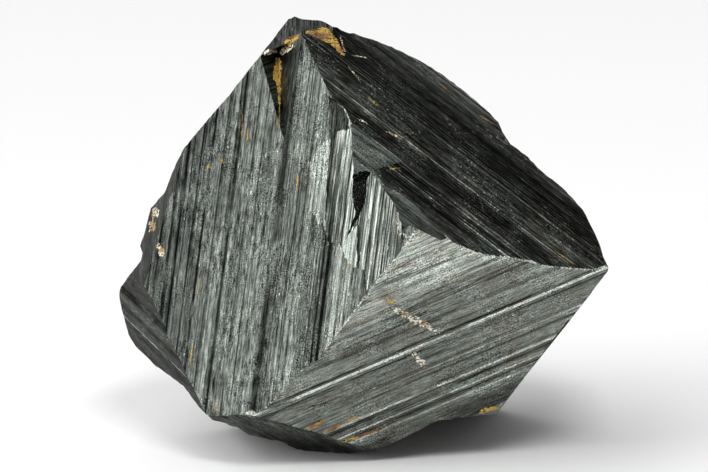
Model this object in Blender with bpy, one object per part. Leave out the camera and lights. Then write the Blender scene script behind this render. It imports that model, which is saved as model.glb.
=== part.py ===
"""Magnetite crystal: one striated rhombic dodecahedron, broken off its matrix and standing on the break.

The crystal is worked out in its own frame, in millimetres. The origin is the front corner, where the three
front faces would meet, and the three-fold axis comes out of that corner along -Y. A direction is given by its
azimuth, counter-clockwise from the right as seen from the front, and its inclination from the three-fold axis.
The last step leans the axis back and lifts the crystal so that its break lies on the ground.
"""

import math
import random

import bmesh
import bpy
from mathutils import Matrix, Vector, noise

MM = 0.001
SEED = 41

# Driving dimensions, in millimetres and degrees
CUBE_UNIT = 10.75                              # half of the short diagonal of an ideal front face
FACE_TO_FACE = 2 * math.sqrt(2) * CUBE_UNIT    # between two opposite faces
SPIN = -7.2                                    # azimuth of the third cube axis
LEAN = 12.0                                    # the three-fold axis rises this much towards the front
BREAK_DROP = 19.6                              # height of the front corner above the flat break
BACK_DEPTH = 31.0                              # from the front corner to the uneven break at the back
BLANK = 70.0                                   # side of the block that the faces are cut from
LATH_PITCH = 0.72                              # mean width of one growth lath
LATH_RELIEF = 0.075                            # mean height of the step beside it

# Inclinations of the lattice directions from the three-fold axis
CUBE_INCLINATION = math.degrees(math.acos(1 / math.sqrt(3)))
OCTAHEDRAL_RISE = math.tan(math.radians(90 - CUBE_INCLINATION))

# Flat growth and break faces around the sides: azimuth, inclination and distance from the front corner
SIDE_FACES = {
    "crown": (88.0, 86.0, 17.05),
    "upper_right_shoulder": (68.5, 91.0, 14.45),
    "right_shoulder": (55.0, 91.0, 13.50),
    "lower_right_shoulder": (44.0, 91.0, 12.95),
    "left_flank_back": (141.0, 103.4, 19.70),
    "left_shoulder": (170.7, 81.5, 17.00),
    "left_end": (184.0, 92.0, 22.40),
    "left_heel": (205.0, 92.0, 22.80),
    "foot_left": (228.0, 91.0, 20.10),
    "foot_front_left": (251.4, 95.0, 19.07),
}

# The chip out of the lower right corner: azimuth, inclination and distance of its two walls
CHIP_WALLS = {"chip_side": (295.6, 92.0, 15.05), "chip_roof": (277.3, 92.0, 15.20)}

# Levels across the striae of each growth face: distance from the front corner's foot, and height
LEFT_LEVELS = [(-9, 0.02), (5.85, 0.05), (6.05, -0.12), (6.44, 0.12), (10.43, -0.10), (10.51, -0.20), (11.4, 0.20),
               (15.4, -0.02), (15.7, -0.14), (16.0, 0.06), (18.2, -0.12), (18.5, 0.03), (20.4, -0.18), (26, -0.55)]
LOWER_LEVELS = [(-9, 0.0), (10.2, 0.12), (10.65, -0.26), (12.6, -0.10), (13.3, -0.30), (15.0, -0.12), (15.3, -0.30),
                (16.1, -0.16), (16.5, -0.34), (17.2, -0.20), (20.0, -0.36), (26, -0.9)]
UPPER_LEVELS = [(-9, 0.0), (3.9, 0.06), (4.2, -0.06), (7.1, 0.06), (7.4, -0.05), (9.6, 0.04), (13.7, 0.0),
                (15.0, -0.30), (16.4, -0.90), (17.4, -1.65), (18.1, -2.80), (18.7, -4.80), (19.3, -9.0)]
LEFT_FLANK_LEVELS = [(-26, 17.0), (-8.05, 17.1), (-3.87, 17.5), (-2.85, 17.26), (-1.13, 16.6), (-0.19, 16.78),
                     (0.96, 16.13), (2.0, 15.62), (2.39, 15.12), (2.85, 14.85), (26, 14.4)]
PLAIN_LEVELS = [(-26, 0.0), (-8, 0.10), (-7.7, -0.06), (1, 0.05), (1.3, -0.10), (9, 0.08), (9.4, -0.05), (26, 0.0)]

# Outlines seen from the front, as (right, up) from the front corner
CAP_OUTLINE = [(-11.2, 14.4), (-11.2, 20.8), (-4.35, 20.8), (-4.35, 17.1), (-3.9, 16.2), (-3.45, 15.4),
               (-3.4, 14.9), (-3.85, 15.25), (-4.75, 15.75), (-5.45, 16.1), (-6.1, 16.35), (-6.8, 16.45),
               (-7.8, 15.95), (-8.5, 15.2), (-9.25, 15.0)]
INNER_STAIR = [(-4.70, 11.60), (-3.10, 10.36), (-2.53, 9.40), (-1.41, 5.56), (-1.45, 3.30), (-1.90, 2.10),
               (-1.97, -2.12), (-2.85, -2.04), (-3.25, -1.48), (-3.65, -0.60), (-3.97, -0.12), (-4.29, -0.36),
               (-4.69, -0.20), (-4.85, 0.36), (-4.69, 3.30), (-4.53, 6.50), (-4.62, 8.68)]
UPPER_TREAD = [(-2.85, 9.95), (-2.30, 9.75), (1.50, 6.48), (-1.35, 5.40), (-1.75, 5.60)]
HOLLOW = [(-2.85, 5.72), (-2.05, 5.88), (-1.45, 5.25), (-1.55, 3.30), (-2.20, 2.60), (-2.77, 3.30)]
LOWER_STAIR = [(-2.10, 3.30), (-1.50, 5.40), (-1.25, 5.48), (-0.85, 4.76), (1.00, 0.44), (0.92, 0.04),
               (-0.13, -2.28), (-2.00, -2.85)]
LOWER_TREAD = [(-1.25, 5.30), (-0.95, 5.34), (5.00, 0.40), (4.20, 0.20), (3.40, 0.48), (2.45, 0.76),
               (1.55, 1.00), (0.90, 0.05), (0.50, 0.76)]
LONG_FLAKE = [(-6.37, 7.30), (-5.00, 7.10), (-4.55, 4.10), (-4.80, 0.45), (-5.09, 2.05), (-5.57, 1.25),
              (-6.05, 2.35), (-6.50, 4.90)]
SHORT_FLAKE = [(-2.55, 1.40), (-2.42, -2.00), (-2.90, -2.06), (-3.42, -0.68), (-3.25, 0.44)]

# How far those outlines are sunk below the left front face, or how far along the axis their floor lies
INNER_STAIR_SINK = 1.37
LOWER_STAIR_SINK = 1.63
UPPER_TREAD_DEPTH = 4.24
LOWER_TREAD_DEPTH = 2.42
HOLLOW_DEPTH = 5.80
LONG_FLAKE_RISE = 0.22
SHORT_FLAKE_SINK = 0.75
FLAKE_ROOT = 9.0

# The cap behind the upper tip: two roof planes that meet in a ridge
CAP_ROOF = {"cap_left": (110.0, 65.0, 12.60), "cap_right": (84.0, 65.0, 10.66)}

# The re-entrant notch left of the upper tip: the corners of its two walls, as (right, up, forward)
NOTCH_TOP_LEFT = (-10.14, 14.81, -8.43)
NOTCH_TIP = (-6.80, 16.46, -6.28)
NOTCH_FOOT = (-8.58, 10.20, -6.92)
NOTCH_BED = (-8.85, 14.92, -9.90)

# Iron-stained crust fused into the notch and along the foot: centre and half sizes
CRUST_LUMPS = [
    ((-8.1, 15.75, -7.9), (0.75, 0.40, 0.75)),
    ((-7.35, 16.25, -7.7), (0.60, 0.32, 0.70)),
    ((-8.75, 15.10, -8.7), (0.50, 0.45, 0.80)),
    ((-6.10, 16.60, -7.6), (0.75, 0.35, 0.75)),
    ((-5.15, 16.35, -7.7), (0.85, 0.50, 0.75)),
    ((-4.25, 15.75, -7.9), (0.65, 0.50, 0.70)),
    ((-5.60, -14.45, -9.6), (0.80, 0.35, 0.50)),
    ((-3.10, -14.30, -10.2), (0.70, 0.40, 0.50)),
    ((8.20, -13.45, -10.9), (0.60, 0.30, 0.45)),
    ((-18.70, 2.20, -13.6), (0.35, 0.50, 0.45)),
    ((-18.35, -0.80, -13.8), (0.40, 0.45, 0.45)),
]

# The dark grey of a fresh face
MAGNETITE_COLOUR = (0.045, 0.047, 0.050, 1.0)


def clear_scene():
    for item in list(bpy.data.objects):
        bpy.data.objects.remove(item, do_unlink=True)


def new_collection(name):
    group = bpy.data.collections.new(name)
    bpy.context.scene.collection.children.link(group)
    return group


def magnetite():
    """Dark metallic oxide with a dull metallic lustre."""
    finish = bpy.data.materials.new("magnetite")
    finish.use_nodes = True
    shader = finish.node_tree.nodes["Principled BSDF"]
    shader.inputs["Base Color"].default_value = MAGNETITE_COLOUR
    shader.inputs["Metallic"].default_value = 0.75
    shader.inputs["Roughness"].default_value = 0.38
    finish.diffuse_color = MAGNETITE_COLOUR
    return finish


def facing(azimuth, inclination):
    """Unit vector of a direction given by azimuth and inclination."""
    azimuth = math.radians(azimuth)
    inclination = math.radians(inclination)
    across = math.sin(inclination)
    return Vector((across * math.cos(azimuth), -math.cos(inclination), across * math.sin(azimuth)))


CUBE_AXES = [facing(SPIN + 120 * turn, CUBE_INCLINATION) for turn in (1, 2, 0)]


def lattice(first, second, third):
    """Unit vector of a lattice direction, from its three indices."""
    total = Vector()
    for index, axis in zip((first, second, third), CUBE_AXES):
        total += index * axis
    return total.normalized()


def place(right, up, forward):
    """Point of the crystal's frame in metres."""
    return Vector((right, -forward, up)) * MM


def add_object(name, mesh, group):
    item = bpy.data.objects.new(name, mesh)
    group.objects.link(item)
    return item


def as_cutter(item):
    item.hide_render = True
    item.display_type = "WIRE"
    return item


def solid_from_outline(name, points, half_length, frame, group):
    """Closed block: a flat outline in a frame's XY plane, filled and extruded both ways along its Z."""
    curve = bpy.data.curves.new(name, "CURVE")
    curve.dimensions = "2D"
    curve.fill_mode = "BOTH"
    curve.extrude = half_length * MM
    spline = curve.splines.new("POLY")
    spline.points.add(len(points) - 1)
    for point, (x, y) in zip(spline.points, points):
        point.co = (x * MM, y * MM, 0, 1)
    spline.use_cyclic_u = True
    drawn = bpy.data.objects.new(name, curve)
    group.objects.link(drawn)
    bpy.context.view_layer.update()
    mesh = bpy.data.meshes.new_from_object(drawn.evaluated_get(bpy.context.evaluated_depsgraph_get()))
    bpy.data.objects.remove(drawn)
    bpy.data.curves.remove(curve)
    shape = bmesh.new()
    shape.from_mesh(mesh)
    bmesh.ops.remove_doubles(shape, verts=shape.verts, dist=1e-7)
    bmesh.ops.transform(shape, matrix=frame, verts=shape.verts)
    bmesh.ops.recalc_face_normals(shape, faces=shape.faces)
    shape.to_mesh(mesh)
    shape.free()
    return as_cutter(add_object(name, mesh, group))


def axes_frame(x_axis, y_axis, z_axis, origin=(0, 0, 0)):
    turn = Matrix((x_axis, y_axis, z_axis)).transposed().to_4x4()
    return Matrix.Translation(origin) @ turn


def laths(levels, seed, lift=0.0):
    """Stepped line through the levels: each lath climbs a short octahedral facet, then sinks slowly."""
    dice = random.Random(SEED + seed)
    line = []
    for (start, low), (end, high) in zip(levels, levels[1:]):
        at = start
        while at < end - 0.6 * LATH_PITCH:
            ground = low + (high - low) * (at - start) / (end - start) + lift
            step = LATH_RELIEF * dice.uniform(0.3, 1.6)
            width = LATH_PITCH * dice.uniform(0.55, 1.5)
            line.append((at, ground - step / 2))
            line.append((at + step / OCTAHEDRAL_RISE, ground + step / 2))
            at += width
        if at == start:
            line.append((start, low + lift))
    line.append((levels[-1][0], levels[-1][1] + lift))
    return line


def face_slab(name, normal, along, levels, seed, group, lift=0.0):
    """Everything below one striated face: its stepped line drawn across the striae, extruded along them."""
    along = (along - normal * along.dot(normal)).normalized()
    line = laths(levels, seed, lift)
    outline = line + [(line[-1][0] + BLANK, line[-1][1]), (line[-1][0] + BLANK, -BLANK),
                      (line[0][0] - BLANK, -BLANK), (line[0][0] - BLANK, line[0][1])]
    frame = axes_frame(normal.cross(along), normal, along)
    return solid_from_outline(name, outline, BLANK, frame, group)


def block(name, faces, group):
    """Convex block: a cube cut by flat faces, each a direction and a distance in millimetres."""
    shape = bmesh.new()
    bmesh.ops.create_cube(shape, size=BLANK * MM, matrix=Matrix.Translation(place(0, 0, -BLANK / 4)))
    for normal, distance in faces:
        cut = bmesh.ops.bisect_plane(shape, geom=shape.verts[:] + shape.edges[:] + shape.faces[:],
                                     plane_co=normal * distance * MM, plane_no=normal, clear_outer=True)
        rim = [edge for edge in cut["geom_cut"] if isinstance(edge, bmesh.types.BMEdge)]
        bmesh.ops.edgenet_fill(shape, edges=rim)
    bmesh.ops.recalc_face_normals(shape, faces=shape.faces)
    mesh = bpy.data.meshes.new(name)
    shape.to_mesh(mesh)
    shape.free()
    return add_object(name, mesh, group)


def plane_through(first, second, third, outward):
    """Direction and distance of the plane through three points, pointing the way that outward does."""
    first, second, third = (Vector((p[0], -p[2], p[1])) for p in (first, second, third))
    normal = (second - first).cross(third - first).normalized()
    if normal.dot(Vector((outward[0], -outward[2], outward[1]))) < 0:
        normal.negate()
    return normal, normal.dot(first)


def combine(item, other, operation):
    """Boolean with the exact solver; the other object stays as a hidden cutter."""
    step = item.modifiers.new(f"{operation.lower()} {other.name}", "BOOLEAN")
    step.operation = operation
    step.solver = "EXACT"
    step.object = other


def view_prism(name, outline, group, reach=BLANK):
    """Block of a front outline that runs along the three-fold axis, this far in front and behind."""
    frame = axes_frame(Vector((1, 0, 0)), Vector((0, 0, 1)), Vector((0, -1, 0)))
    return solid_from_outline(name, outline, reach, frame, group)


def front_slabs(group):
    """The three front faces, each with its striae along the face's long diagonal."""
    return [
        face_slab("left_face", lattice(1, 1, 0), lattice(1, -1, 0), LEFT_LEVELS, 1, group),
        face_slab("lower_face", lattice(0, 1, 1), lattice(0, 1, -1), LOWER_LEVELS, 2, group),
        face_slab("upper_face", lattice(1, 0, 1), lattice(-1, 0, 1), UPPER_LEVELS, 3, group),
    ]


def side_slabs(group):
    """The faces around the sides and what is left of the three at the back."""
    return [
        face_slab("left_flank", lattice(1, 0, -1), lattice(-1, 0, -1), LEFT_FLANK_LEVELS, 4, group),
        face_slab("lower_left_flank", facing(200, 75), facing(-42, 30), PLAIN_LEVELS, 5, group, 15.30),
        face_slab("foot_face", facing(261, 75.6), lattice(1, 1, 0), PLAIN_LEVELS, 6, group, 13.32),
        face_slab("lower_right_flank", lattice(-1, 0, 1), lattice(1, 0, 1), PLAIN_LEVELS, 7, group, 15.26),
        face_slab("right_flank", lattice(0, -1, 1), lattice(0, -1, -1), PLAIN_LEVELS, 8, group, 15.38),
        face_slab("back_right_face", lattice(-1, -1, 0), lattice(1, -1, 0), PLAIN_LEVELS, 9, group, FACE_TO_FACE),
        face_slab("back_upper_face", lattice(0, -1, -1), lattice(0, 1, -1), PLAIN_LEVELS, 10, group, FACE_TO_FACE),
        face_slab("back_lower_face", lattice(-1, 0, -1), lattice(-1, 0, 1), PLAIN_LEVELS, 11, group, FACE_TO_FACE),
    ]


def sunk_panel(name, outline, floor, group):
    """Cutter for a panel below the faces: the outline's prism less whatever is under the floor."""
    prism = view_prism(name, outline, group)
    combine(prism, floor, "DIFFERENCE")
    return prism


def stair_cutters(group):
    """The stepped hollow where the front corner would be: striated stairs, flat treads and a pit."""
    left = (lattice(1, 1, 0), lattice(1, -1, 0))
    axis = facing(0, 0)
    inner = face_slab("inner_stair_floor", *left, LEFT_LEVELS, 12, group, -INNER_STAIR_SINK)
    lower = face_slab("lower_stair_floor", *left, LEFT_LEVELS, 13, group, -LOWER_STAIR_SINK)
    upper_tread = as_cutter(block("upper_tread_floor", [(axis, -UPPER_TREAD_DEPTH)], group))
    lower_tread = as_cutter(block("lower_tread_floor", [(axis, -LOWER_TREAD_DEPTH)], group))
    pit = as_cutter(block("hollow_floor", [(axis, -HOLLOW_DEPTH)], group))
    return [
        sunk_panel("inner_stair", INNER_STAIR, inner, group),
        sunk_panel("lower_stair", LOWER_STAIR, lower, group),
        sunk_panel("upper_tread", UPPER_TREAD, upper_tread, group),
        sunk_panel("lower_tread", LOWER_TREAD, lower_tread, group),
        sunk_panel("hollow", HOLLOW, pit, group),
    ]


def cap_cutter(group):
    """Lowers the top behind the upper tip to the two roof planes of the cap."""
    roof = as_cutter(block("cap_roof", [(facing(az, inc), far) for az, inc, far in CAP_ROOF.values()], group))
    return sunk_panel("cap", CAP_OUTLINE, roof, group)


def notch_cutter(group):
    """Wedge between the notch's two walls, open to the front and closed by the cap behind it."""
    faces = [
        plane_through(NOTCH_TOP_LEFT, NOTCH_FOOT, NOTCH_BED, (-1, 0, -0.3)),
        plane_through(NOTCH_TIP, NOTCH_FOOT, NOTCH_BED, (1, 0, -0.3)),
        plane_through(NOTCH_TOP_LEFT, NOTCH_TIP, (NOTCH_TIP[0], NOTCH_TIP[1], 0), (0, 1, 0)),
    ]
    return as_cutter(block("notch", faces, group))


def chip_cutter(group):
    """Corner between the chip's two walls, running right through to the back."""
    walls = [(-facing(az, inc), -far) for az, inc, far in CHIP_WALLS.values()]
    return as_cutter(block("chip", walls, group))


def fracture_cutter(group):
    """Uneven break at the back: a dense sheet pushed about by smooth noise, with a thickness behind it."""
    cells = 16
    shape = bmesh.new()
    frame = Matrix.Translation(place(0, 0, -BACK_DEPTH)) @ Matrix.Rotation(math.radians(90), 4, "X")
    bmesh.ops.create_grid(shape, x_segments=cells, y_segments=cells, size=BLANK * MM / 2, matrix=frame)
    for corner in shape.verts:
        spot = corner.co / MM
        swell = 1.9 * noise.noise(Vector((spot.x, 0, spot.z)) / 11 + Vector((SEED, 0, 3)))
        chip = 0.9 * noise.noise(Vector((spot.x, 0, spot.z)) / 4 + Vector((7, 0, SEED)))
        corner.co.y += (swell + chip + 0.10 * spot.x - 0.12 * spot.z) * MM
    pushed = bmesh.ops.extrude_face_region(shape, geom=shape.faces[:])
    moved = [item for item in pushed["geom"] if isinstance(item, bmesh.types.BMVert)]
    bmesh.ops.translate(shape, verts=moved, vec=(0, BLANK * MM / 2, 0))
    bmesh.ops.triangulate(shape, faces=shape.faces)
    bmesh.ops.recalc_face_normals(shape, faces=shape.faces)
    mesh = bpy.data.meshes.new("back_break")
    shape.to_mesh(mesh)
    shape.free()
    return as_cutter(add_object("back_break", mesh, group))


def flakes(group):
    """Thin plates left standing beside the stairs: an outline's prism below a raised or sunk face."""
    plates = []
    for name, outline, rise, seed in (("long_flake", LONG_FLAKE, LONG_FLAKE_RISE, 14),
                                      ("short_flake", SHORT_FLAKE, -SHORT_FLAKE_SINK, 15)):
        plate = view_prism(name, outline, group, FLAKE_ROOT)
        under = face_slab(f"{name}_top", lattice(1, 1, 0), lattice(1, -1, 0), LEFT_LEVELS, seed, group, rise)
        combine(plate, under, "INTERSECT")
        plates.append(plate)
    return plates


def crust(group):
    """Small rounded lumps of iron-stained crust."""
    lumps = []
    for number, (centre, half_sizes) in enumerate(CRUST_LUMPS):
        shape = bmesh.new()
        bmesh.ops.create_icosphere(shape, subdivisions=2, radius=MM)
        for corner in shape.verts:
            bulge = 1 + 0.3 * noise.noise(corner.co / MM * 1.4 + Vector((number * 5, SEED, 0)))
            corner.co = corner.co * bulge
        size = Matrix.Diagonal((half_sizes[0], half_sizes[2], half_sizes[1], 1))
        bmesh.ops.transform(shape, matrix=Matrix.Translation(place(*centre)) @ size, verts=shape.verts)
        mesh = bpy.data.meshes.new(f"crust_{number}")
        shape.to_mesh(mesh)
        shape.free()
        lumps.append(as_cutter(add_object(f"crust_{number}", mesh, group)))
    return lumps


def ground_cutter(group):
    """Block whose top is the plane of the flat break, square to the ground once the crystal leans."""
    down = Matrix.Rotation(math.radians(LEAN), 3, "X") @ Vector((0, 0, -1))
    return as_cutter(block("ground_break", [(-down, -BREAK_DROP)], group))


def stand(crystal, empty):
    """Leans the crystal back and sets its origin at the middle of its footprint box, on the ground."""
    empty.rotation_euler = (math.radians(-LEAN), 0, 0)
    bpy.context.view_layer.update()
    solid = crystal.evaluated_get(bpy.context.evaluated_depsgraph_get())
    spots = [solid.matrix_world @ corner.co for corner in solid.data.vertices]
    low = [min(spot[axis] for spot in spots) for axis in range(3)]
    high = [max(spot[axis] for spot in spots) for axis in range(3)]
    empty.location = (-(low[0] + high[0]) / 2, -(low[1] + high[1]) / 2, -low[2])


def main():
    clear_scene()
    pieces = new_collection("magnetite crystal")
    cutters = new_collection("cutters")
    empty = bpy.data.objects.new("crystal frame", None)
    pieces.objects.link(empty)

    sides = [(facing(az, inc), far) for az, inc, far in SIDE_FACES.values()]
    crystal = block("crystal", sides, pieces)
    crystal.data.materials.append(magnetite())
    for cutter in (fracture_cutter(cutters), chip_cutter(cutters)):
        combine(crystal, cutter, "DIFFERENCE")
    for slab in front_slabs(cutters) + side_slabs(cutters):
        combine(crystal, slab, "INTERSECT")
    for cutter in [cap_cutter(cutters), notch_cutter(cutters)] + stair_cutters(cutters):
        combine(crystal, cutter, "DIFFERENCE")
    for lump in flakes(cutters) + crust(cutters):
        combine(crystal, lump, "UNION")
    combine(crystal, ground_cutter(cutters), "DIFFERENCE")

    for item in pieces.objects[:] + cutters.objects[:]:
        if item is not empty:
            item.parent = empty
    stand(crystal, empty)


main()
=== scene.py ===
"""Looks of the magnetite crystal: fine growth striae, stepped corner, iron-stained crust and studio."""

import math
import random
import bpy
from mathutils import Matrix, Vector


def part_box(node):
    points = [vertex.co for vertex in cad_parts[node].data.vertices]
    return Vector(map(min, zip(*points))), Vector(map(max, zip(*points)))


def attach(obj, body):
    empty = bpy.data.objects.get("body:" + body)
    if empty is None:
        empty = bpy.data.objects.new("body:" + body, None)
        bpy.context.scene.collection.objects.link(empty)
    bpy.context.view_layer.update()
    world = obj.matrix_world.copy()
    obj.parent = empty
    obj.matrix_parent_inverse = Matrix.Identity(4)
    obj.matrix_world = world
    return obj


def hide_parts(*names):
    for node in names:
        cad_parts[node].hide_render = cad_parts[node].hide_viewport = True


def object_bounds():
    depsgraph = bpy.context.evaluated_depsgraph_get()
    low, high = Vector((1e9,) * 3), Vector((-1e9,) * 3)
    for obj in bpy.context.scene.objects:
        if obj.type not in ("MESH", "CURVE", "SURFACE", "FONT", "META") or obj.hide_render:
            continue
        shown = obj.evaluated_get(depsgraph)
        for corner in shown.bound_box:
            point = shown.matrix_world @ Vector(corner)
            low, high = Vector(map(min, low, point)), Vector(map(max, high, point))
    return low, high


bl_info = {
    "name": "Magnetite Crystal",
    "version": (1, 0, 0),
    "blender": (4, 5, 0),
    "location": "View3D > Sidebar > Crystal",
    "description": "Grows a striated magnetite crystal over its packed solid",
    "category": "Object",
}

import bmesh
import bpy
from bpy.props import FloatProperty, FloatVectorProperty, IntProperty, PointerProperty
from mathutils import Matrix, Vector, noise
from mathutils.bvhtree import BVHTree

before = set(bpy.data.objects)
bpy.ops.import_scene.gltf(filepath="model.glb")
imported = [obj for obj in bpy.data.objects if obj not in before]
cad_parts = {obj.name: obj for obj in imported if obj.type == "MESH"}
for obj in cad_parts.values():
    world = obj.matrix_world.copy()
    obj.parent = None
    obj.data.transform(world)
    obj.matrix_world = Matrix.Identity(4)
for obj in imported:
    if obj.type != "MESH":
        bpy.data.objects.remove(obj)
CAD_LOW, CAD_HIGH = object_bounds()
NODE_LOW, NODE_HIGH = (Vector(corner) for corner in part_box("crystal"))

MM = 0.001
SEED = 41

# How the crystal stands: degrees of lean, and millimetres from the node's box to the front corner
LEAN = 12.0
BREAK_DROP = 19.6
RIGHT_REACH = 17.69
FRONT_REACH = 0.18
CORNER = Vector((NODE_HIGH.x - RIGHT_REACH * MM, NODE_LOW.y + FRONT_REACH * MM, NODE_LOW.z + BREAK_DROP * MM))
STANCE = Matrix.Translation(CORNER) @ Matrix.Rotation(math.radians(-LEAN), 4, "X")

# Sizes of the crystal, in millimetres and degrees
CUBE_UNIT = 10.75
FACE_TO_FACE = 2 * math.sqrt(2) * CUBE_UNIT
SPIN = -7.2
BACK_DEPTH = 31.0
BLANK = 70.0
CUBE_INCLINATION = math.degrees(math.acos(1 / math.sqrt(3)))
OCTAHEDRAL_RISE = math.tan(math.radians(90 - CUBE_INCLINATION))
ACROSS_PER_EDGE = 1 / math.sqrt(3)
SHARP_ANGLE = 3.5

# Side flats: azimuth, inclination and distance; the spare keeps them clear of the outline
SIDE_FACES = {
    "crown": (88.0, 86.0, 17.05),
    "upper_right_shoulder": (68.5, 91.0, 14.45),
    "right_shoulder": (55.0, 91.0, 13.5),
    "lower_right_shoulder": (44.0, 91.0, 12.95),
    "left_flank_back": (141.0, 103.4, 19.7),
    "left_shoulder": (170.7, 81.5, 17.0),
    "left_end": (184.0, 92.0, 22.4),
    "left_heel": (205.0, 92.0, 22.8),
    "foot_left": (228.0, 91.0, 20.1),
    "foot_front_left": (251.4, 95.0, 19.07),
}
SIDE_SPARE = 0.3
CHIP_WALLS = {"chip_side": (295.6, 92.0, 15.05), "chip_roof": (277.3, 92.0, 15.2)}

# Levels across the striae of each growth face: distance from the front corner's foot, and height
LEFT_LEVELS = [
    (-9, -1.15), (5.95, -1.12), (6.08, -1.18), (6.48, -0.9), (7.06, -0.62), (10.43, -0.06), (10.51, -0.16),
    (11.4, 0.22), (15.4, -0.02), (15.7, -0.14), (16.0, 0.06), (18.2, -0.12), (18.5, 0.03), (20.4, -0.18),
    (26, -0.55),
]
LOWER_LEVELS = [
    (-9, 0.0), (10.2, 0.12), (10.65, -0.26), (12.6, -0.1), (13.3, -0.3), (15.0, -0.12), (15.3, -0.3),
    (16.1, -0.16), (16.5, -0.34), (17.2, -0.2), (20.0, -0.36), (26, -0.9),
]
UPPER_LEVELS = [
    (-9, 1.3), (2.4, 1.3), (3.0, 1.13), (3.3, 0.65), (4.2, 0.15), (4.6, 0.0), (7.0, -0.05), (7.4, -0.25),
    (9.0, -0.15), (10.4, 0.0), (13.7, 0.0), (15.0, -0.3), (16.4, -0.9), (17.4, -1.65), (18.1, -2.8),
    (18.7, -4.8), (19.3, -9.0),
]
LEFT_FLANK_LEVELS = [
    (-26, 17.0), (-8.05, 17.1), (-3.87, 17.5), (-2.85, 17.26), (-1.13, 16.6), (-0.19, 16.78), (0.96, 16.13),
    (2.0, 15.62), (2.39, 15.12), (2.85, 14.85), (26, 14.4),
]
PANEL_LEVELS = [
    (-9, 0.0), (-0.6, 0.03), (-0.4, -0.05), (1.6, 0.04), (1.9, -0.06), (3.5, 0.05), (3.8, -0.06),
    (5.2, 0.05), (5.4, -0.04), (26, 0.0),
]
FLAKE_LEVELS = [(-9, 0.0), (26, 0.0)]
PLAIN_LEVELS = [
    (-26, 0.0), (-8, 0.1), (-7.7, -0.06), (1, 0.05), (1.3, -0.1), (9, 0.08), (9.4, -0.05), (26, 0.0),
]

# Lines drawn along the striae, painted light and shade: dark ones paint shadow at the levels' steps, bright
# ones highlights and sheen; each is distance across from the front corner, half width, and gain in brightness
LEFT_SHADING_LINES = [
    (6.25, 0.16, -0.85), (10.95, 0.34, -0.65), (14.1, 0.1, -0.5), (15.68, 0.15, -0.75), (17.0, 0.1, -0.5),
    (18.22, 0.15, -0.8), (20.62, 0.18, -0.85), (21.36, 0.15, -0.75), (22.34, 0.2, -0.8),
    (23.1, 0.15, -0.75), (4.2, 0.12, -0.6), (8.4, 0.5, 0.2), (5.0, 1.7, 0.38), (12.6, 0.9, 0.2),
    (21.2, 4.4, -0.34), (9.0, 2.4, -0.22), (6.6, 0.1, -0.7), (9.4, 0.07, -0.5), (13.2, 0.08, -0.5),
    (19.2, 0.1, -0.6),
]
LOWER_SHADING_LINES = [
    (2.0, 5.5, 0.9), (7.5, 3.0, 0.15), (17.5, 4.5, -0.1), (10.15, 0.13, -0.7), (10.75, 0.22, 1.5),
    (11.2, 0.12, -0.6), (13.2, 0.15, 1.0), (13.7, 0.15, -0.5), (15.0, 0.15, 1.1), (15.5, 0.16, -0.6),
    (16.1, 0.13, 1.1), (16.5, 0.12, -0.6), (16.95, 0.13, 0.9), (18.3, 0.9, -0.4), (7.0, 0.2, -0.3),
    (8.6, 0.25, -0.3),
]
PANEL_SHADING_LINES = [
    (1.2, 0.07, -0.8), (1.9, 0.06, -0.8), (2.7, 0.08, -0.7), (3.4, 0.06, -0.7), (4.1, 0.08, -0.8),
    (4.9, 0.06, -0.7), (5.5, 0.08, -0.8), (1.6, 0.1, 0.9), (3.0, 0.1, 0.9), (4.5, 0.12, 0.9),
    (-0.5, 1.7, -0.45), (2.3, 0.05, 1.2), (3.7, 0.05, 1.2), (5.2, 0.06, 1.2), (0.9, 0.05, 0.9),
    (6.6, 1.3, 0.6),
]
UPPER_SHADING_LINES = [
    (4.05, 0.16, -0.5), (4.65, 0.09, 1.3), (5.3, 0.3, -0.5), (5.9, 0.08, 1.1), (6.4, 0.22, -0.5),
    (6.95, 0.09, 1.3), (7.25, 0.15, -0.6), (8.2, 0.5, -0.4), (9.0, 0.12, 0.7), (11.0, 0.15, 0.6),
    (12.2, 0.7, -0.3), (13.5, 0.2, -0.5), (3.3, 1.2, 0.5), (16.5, 1.2, 0.25), (7.2, 4.2, 0.42),
]
FLANK_SHADING_LINES = {
    "lower_left_flank": [
        (-7.85, 0.45, -0.55), (-8.7, 0.5, 0.4), (-9.8, 0.35, -0.4), (-10.9, 0.14, 1.8), (-11.6, 0.5, -0.35),
        (-6.3, 0.12, -0.4), (-5.2, 0.3, 0.3),
    ],
    # Painted light: brightens the whole foot face, which lies in shade
    "foot_face": [(0.0, 60.0, 0.5)],
}

# Outlines seen from the front, as (right, up) from the front corner
CAP_OUTLINE = [
    (-11.2, 14.4), (-11.2, 20.8), (-4.35, 20.8), (-4.35, 17.1), (-3.9, 16.2), (-3.45, 15.4), (-3.4, 14.9),
    (-3.85, 15.25), (-4.75, 15.75), (-5.45, 16.1), (-6.1, 16.35), (-6.8, 16.45), (-7.8, 15.95),
    (-8.5, 15.2), (-9.25, 15.0),
]
INNER_STAIR = [
    (-4.73, 11.56), (-4.05, 11.08), (-3.41, 10.52), (-3.09, 9.88), (-2.89, 8.92), (-2.89, 7.64),
    (-2.77, 6.68), (-2.69, 5.32), (-2.77, 4.04), (-2.41, 3.18), (-2.13, 3.0), (-2.33, 1.32), (-2.41, -2.12),
    (-2.74, -2.04), (-3.41, -1.24), (-3.62, -0.6), (-3.82, -0.12), (-4.17, -0.34), (-4.77, -0.04),
    (-4.85, 0.36), (-4.98, 0.92), (-4.93, 3.32), (-4.77, 5.72), (-4.53, 8.12), (-4.65, 9.72),
]
UPPER_TREAD = [
    (-2.94, 9.32), (-2.69, 9.36), (-1.59, 8.68), (1.19, 6.36), (0.03, 6.04), (-1.18, 5.64), (-1.33, 5.52),
    (-2.69, 5.32), (-2.81, 6.68), (-2.94, 7.64),
]
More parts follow.
